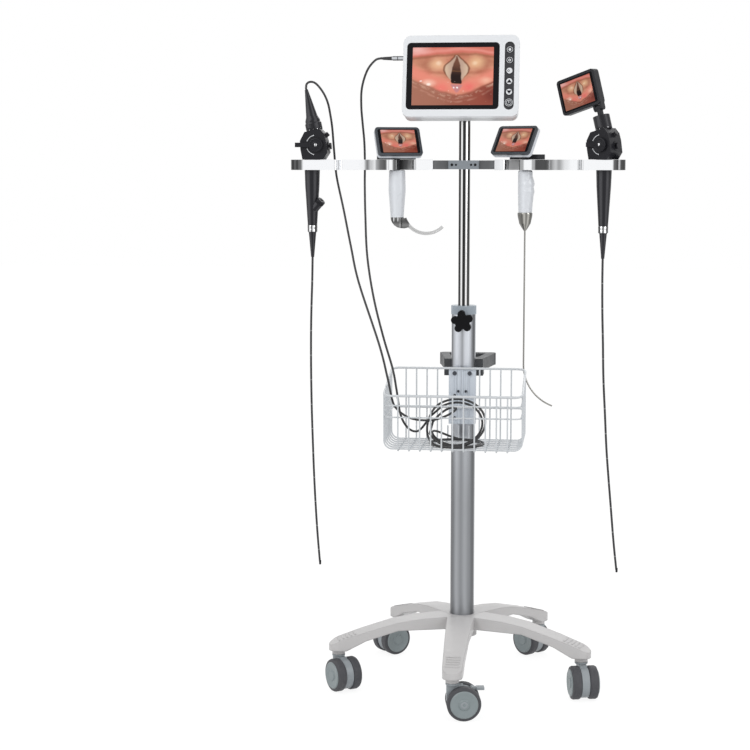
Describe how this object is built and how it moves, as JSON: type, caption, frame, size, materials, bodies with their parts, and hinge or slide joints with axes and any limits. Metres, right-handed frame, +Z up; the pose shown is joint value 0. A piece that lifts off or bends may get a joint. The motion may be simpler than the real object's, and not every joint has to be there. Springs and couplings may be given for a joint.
{
  "type": "video laryngoscope",
  "caption": "Wheeled stand with a raising column, tilting monitor, wire basket and a hanger bar that holds a laryngoscope, a video stylet and flexible scopes.",
  "frame": {"origin": "centre of the overall box on the floor, cords left out", "axes": "+Z up along the column, -Y toward the user who faces the monitor, +X to the user's right"},
  "size_m": [0.6629, 0.5466, 1.3008],
  "materials": {
    "leg_enamel": "satin off-white enamel",
    "grey_plastic": "moulded grey",
    "tyre": "dark grey tread",
    "zinc_steel": "plated",
    "column_aluminium": "satin anodised",
    "bright_strip": "polished",
    "dark_cast": "satin black",
    "dark_plastic": "grained dark grey",
    "basket_wire": "white powder coat",
    "white_plastic": "smooth white",
    "screen_glass": "glossy screen cover",
    "key_plastic": "soft dark",
    "plug_metal": "turned",
    "cable_black": "smooth jacket",
    "scope_black": "satin black",
    "screen_black": "satin dark grey",
    "blade_steel": "polished"
  },
  "bodies": {
    "base": {"star_base": "leg_enamel", "castor_stems": "zinc_steel", "outer_column": "column_aluminium", "column_collar": "grey_plastic", "basket": "basket_wire", "basket_bracket": "grey_plastic", "bracket_screws": "zinc_steel", "push_handle": "dark_plastic", "cable_coil": "cable_black", "cable_scope_side": "cable_black", "cable_monitor_side": "cable_black"},
    "castor_1": {"castor_housing_1": "grey_plastic"},
    "wheels_1": {"castor_wheels_1": "tyre"},
    "castor_2": {"castor_housing_2": "grey_plastic"},
    "wheels_2": {"castor_wheels_2": "tyre"},
    "castor_3": {"castor_housing_3": "grey_plastic"},
    "wheels_3": {"castor_wheels_3": "tyre"},
    "castor_4": {"castor_housing_4": "grey_plastic"},
    "wheels_4": {"castor_wheels_4": "tyre"},
    "castor_5": {"castor_housing_5": "grey_plastic"},
    "wheels_5": {"castor_wheels_5": "tyre"},
    "pedal": {"brake_pedal": "grey_plastic"},
    "knob": {"lock_knob": "dark_plastic"},
    "pole": {"inner_pole": "column_aluminium", "bar_clamp": "dark_cast", "bar_left": "bright_strip", "bar_right": "bright_strip"},
    "yoke": {"monitor_yoke": "dark_cast"},
    "monitor": {"monitor_front": "white_plastic", "monitor_back": "white_plastic", "monitor_glass": "screen_glass", "monitor_plug": "plug_metal"},
    "key_1": {"monitor_key_1": "key_plastic"},
    "key_2": {"monitor_key_2": "key_plastic"},
    "key_3": {"monitor_key_3": "key_plastic"},
    "key_4": {"monitor_key_4": "key_plastic"},
    "key_5": {"monitor_key_5": "key_plastic"},
    "key_6": {"monitor_key_6": "key_plastic"},
    "scope_a": {"scope_a_body": "scope_black", "scope_a_connector": "scope_black", "scope_a_tube": "cable_black"},
    "scope_a_lever": {"scope_a_lever": "scope_black"},
    "scope_a_valve": {"scope_a_valve": "scope_black"},
    "scope_b": {"scope_b_body": "scope_black", "scope_b_tube": "cable_black"},
    "scope_b_lever": {"scope_b_lever": "scope_black"},
    "scope_b_valve": {"scope_b_valve": "scope_black"},
    "lary": {"lary_handle": "white_plastic", "lary_blade": "blade_steel"},
    "lary_neck": {"lary_neck": "screen_black"},
    "lary_screen": {"lary_screen": "screen_black", "lary_glass": "screen_glass"},
    "stylet": {"stylet_handle": "white_plastic", "stylet_tube": "blade_steel"},
    "stylet_neck": {"stylet_neck": "screen_black"},
    "stylet_screen": {"stylet_screen": "screen_black", "stylet_glass": "screen_glass"},
    "scope_b_neck": {"scope_b_neck": "scope_black"},
    "scope_b_screen": {"scope_b_screen": "screen_black", "scope_b_glass": "screen_glass"}
  },
  "joints": [
    {"name": "castor_swivel_1", "type": "hinge", "parent": "base", "child": "castor_1", "pos_m": [0.014, -0.245, 0.07], "axis": [0, 0, 1], "continuous": true},
    {"name": "castor_roll_1", "type": "hinge", "parent": "castor_1", "child": "wheels_1", "pos_m": [0.03474, -0.24172, 0.033], "axis": [-0.1564, 0.9877, 0], "continuous": true},
    {"name": "castor_swivel_2", "type": "hinge", "parent": "base", "child": "castor_2", "pos_m": [0.25747, -0.06811, 0.07], "axis": [0, 0, 1], "continuous": true},
    {"name": "castor_roll_2", "type": "hinge", "parent": "castor_2", "child": "wheels_2", "pos_m": [0.26219, -0.08857, 0.033], "axis": [0.9744, 0.225, 0], "continuous": true},
    {"name": "castor_swivel_3", "type": "hinge", "parent": "base", "child": "castor_3", "pos_m": [0.16447, 0.21811, 0.07], "axis": [0, 0, 1], "continuous": true},
    {"name": "castor_roll_3", "type": "hinge", "parent": "castor_3", "child": "wheels_3", "pos_m": [0.14962, 0.23296, 0.033], "axis": [-0.7071, -0.7071, 0], "continuous": true},
    {"name": "castor_swivel_4", "type": "hinge", "parent": "base", "child": "castor_4", "pos_m": [-0.13647, 0.21811, 0.07], "axis": [0, 0, 1], "continuous": true},
    {"name": "castor_roll_4", "type": "hinge", "parent": "castor_4", "child": "wheels_4", "pos_m": [-0.15256, 0.20461, 0.033], "axis": [0.6428, -0.766, 0], "continuous": true},
    {"name": "castor_swivel_5", "type": "hinge", "parent": "base", "child": "castor_5", "pos_m": [-0.22947, -0.06811, 0.07], "axis": [0, 0, 1], "continuous": true},
    {"name": "castor_roll_5", "type": "hinge", "parent": "castor_5", "child": "wheels_5", "pos_m": [-0.21713, -0.0851, 0.033], "axis": [0.809, 0.5878, 0], "continuous": true},
    {"name": "brake_pedal_hinge", "type": "hinge", "parent": "castor_1", "child": "pedal", "pos_m": [0.05153, -0.23905, 0.059], "axis": [-0.1564, 0.9877, 0], "range_deg": [0, 12]},
    {"name": "lock_knob_turn", "type": "hinge", "parent": "base", "child": "knob", "pos_m": [0.014, -0.019, 0.742], "axis": [0, -1, 0], "range_deg": [0, 360]},
    {"name": "pole_slide", "type": "slide", "parent": "base", "child": "pole", "axis": [0, 0, 1], "range_m": [0, 0.2], "deforming": ["cable_scope_side", "cable_monitor_side"]},
    {"name": "monitor_swivel", "type": "hinge", "parent": "pole", "child": "yoke", "pos_m": [0.014, 0.011, 1.19], "axis": [0, 0, 1], "range_deg": [-45, 45], "deforming": ["cable_monitor_side"]},
    {"name": "monitor_tilt", "type": "hinge", "parent": "yoke", "child": "monitor", "pos_m": [0.01, 0.003, 1.216], "axis": [1, 0, 0], "range_deg": [-15, 12], "deforming": ["cable_monitor_side"]},
    {"name": "key_press_1", "type": "slide", "parent": "monitor", "child": "key_1", "axis": [0, 0.9659, -0.2588], "range_m": [0, 0.0008], "stiffness_N_per_m": 600, "springref_m": -0.0005},
    {"name": "key_press_2", "type": "slide", "parent": "monitor", "child": "key_2", "axis": [0, 0.9659, -0.2588], "range_m": [0, 0.0008], "stiffness_N_per_m": 600, "springref_m": -0.0005},
    {"name": "key_press_3", "type": "slide", "parent": "monitor", "child": "key_3", "axis": [0, 0.9659, -0.2588], "range_m": [0, 0.0008], "stiffness_N_per_m": 600, "springref_m": -0.0005},
    {"name": "key_press_4", "type": "slide", "parent": "monitor", "child": "key_4", "axis": [0, 0.9659, -0.2588], "range_m": [0, 0.0008], "stiffness_N_per_m": 600, "springref_m": -0.0005},
    {"name": "key_press_5", "type": "slide", "parent": "monitor", "child": "key_5", "axis": [0, 0.9659, -0.2588], "range_m": [0, 0.0008], "stiffness_N_per_m": 600, "springref_m": -0.0005},
    {"name": "key_press_6", "type": "slide", "parent": "monitor", "child": "key_6", "axis": [0, 0.9659, -0.2588], "range_m": [0, 0.0008], "stiffness_N_per_m": 600, "springref_m": -0.0005},
    {"name": "scope_a_lift", "type": "slide", "parent": "pole", "child": "scope_a", "axis": [0, 0, 1], "range_m": [0, 0.1], "deforming": ["cable_scope_side"]},
    {"name": "scope_a_lever_turn", "type": "hinge", "parent": "scope_a", "child": "scope_a_lever", "pos_m": [-0.279, 0, 1.0897], "axis": [0, 1, 0], "range_deg": [-30, 30]},
    {"name": "scope_a_valve_press", "type": "slide", "parent": "scope_a", "child": "scope_a_valve", "axis": [-0.9945, 0, -0.1045], "range_m": [0, 0.002], "stiffness_N_per_m": 300, "springref_m": -0.001},
    {"name": "scope_b_lift", "type": "slide", "parent": "pole", "child": "scope_b", "axis": [0, 0, 1], "range_m": [0, 0.05]},
    {"name": "scope_b_lever_turn", "type": "hinge", "parent": "scope_b", "child": "scope_b_lever", "pos_m": [0.29274, -0.00265, 1.0897], "axis": [0.5299, 0.848, 0], "range_deg": [-30, 30]},
    {"name": "scope_b_valve_press", "type": "slide", "parent": "scope_b", "child": "scope_b_valve", "axis": [-0.8434, 0.527, -0.1045], "range_m": [0, 0.002], "stiffness_N_per_m": 300, "springref_m": -0.001},
    {"name": "lary_lift", "type": "slide", "parent": "pole", "child": "lary", "axis": [0, 0, 1], "range_m": [0, 0.05]},
    {"name": "lary_neck_swivel", "type": "hinge", "parent": "lary", "child": "lary_neck", "pos_m": [-0.122, 0.0244, 1.0407], "axis": [0, 0, 1], "range_deg": [-60, 60]},
    {"name": "lary_screen_tilt", "type": "hinge", "parent": "lary_neck", "child": "lary_screen", "pos_m": [-0.11877, 0.01598, 1.07187], "axis": [0.9336, 0.3584, 0], "range_deg": [-30, 12]},
    {"name": "stylet_lift", "type": "slide", "parent": "pole", "child": "stylet", "axis": [0, 0, 1], "range_m": [0, 0.05]},
    {"name": "stylet_neck_swivel", "type": "hinge", "parent": "stylet", "child": "stylet_neck", "pos_m": [0.134, 0.022, 1.0407], "axis": [0, 0, 1], "range_deg": [-60, 60]},
    {"name": "stylet_screen_tilt", "type": "hinge", "parent": "stylet_neck", "child": "stylet_screen", "pos_m": [0.12922, 0.01435, 1.07387], "axis": [0.848, -0.5299, 0], "range_deg": [-30, 28]},
    {"name": "scope_b_neck_swivel", "type": "hinge", "parent": "scope_b", "child": "scope_b_neck", "pos_m": [0.28448, 0.00251, 1.13219], "axis": [-0.2266, 0.1416, 0.9636], "range_deg": [-60, 60]},
    {"name": "scope_b_screen_tilt", "type": "hinge", "parent": "scope_b_neck", "child": "scope_b_screen", "pos_m": [0.27768, 0.00676, 1.1611], "axis": [0.7679, -0.5826, 0.2662], "range_deg": [-60, 30]}
  ]
}
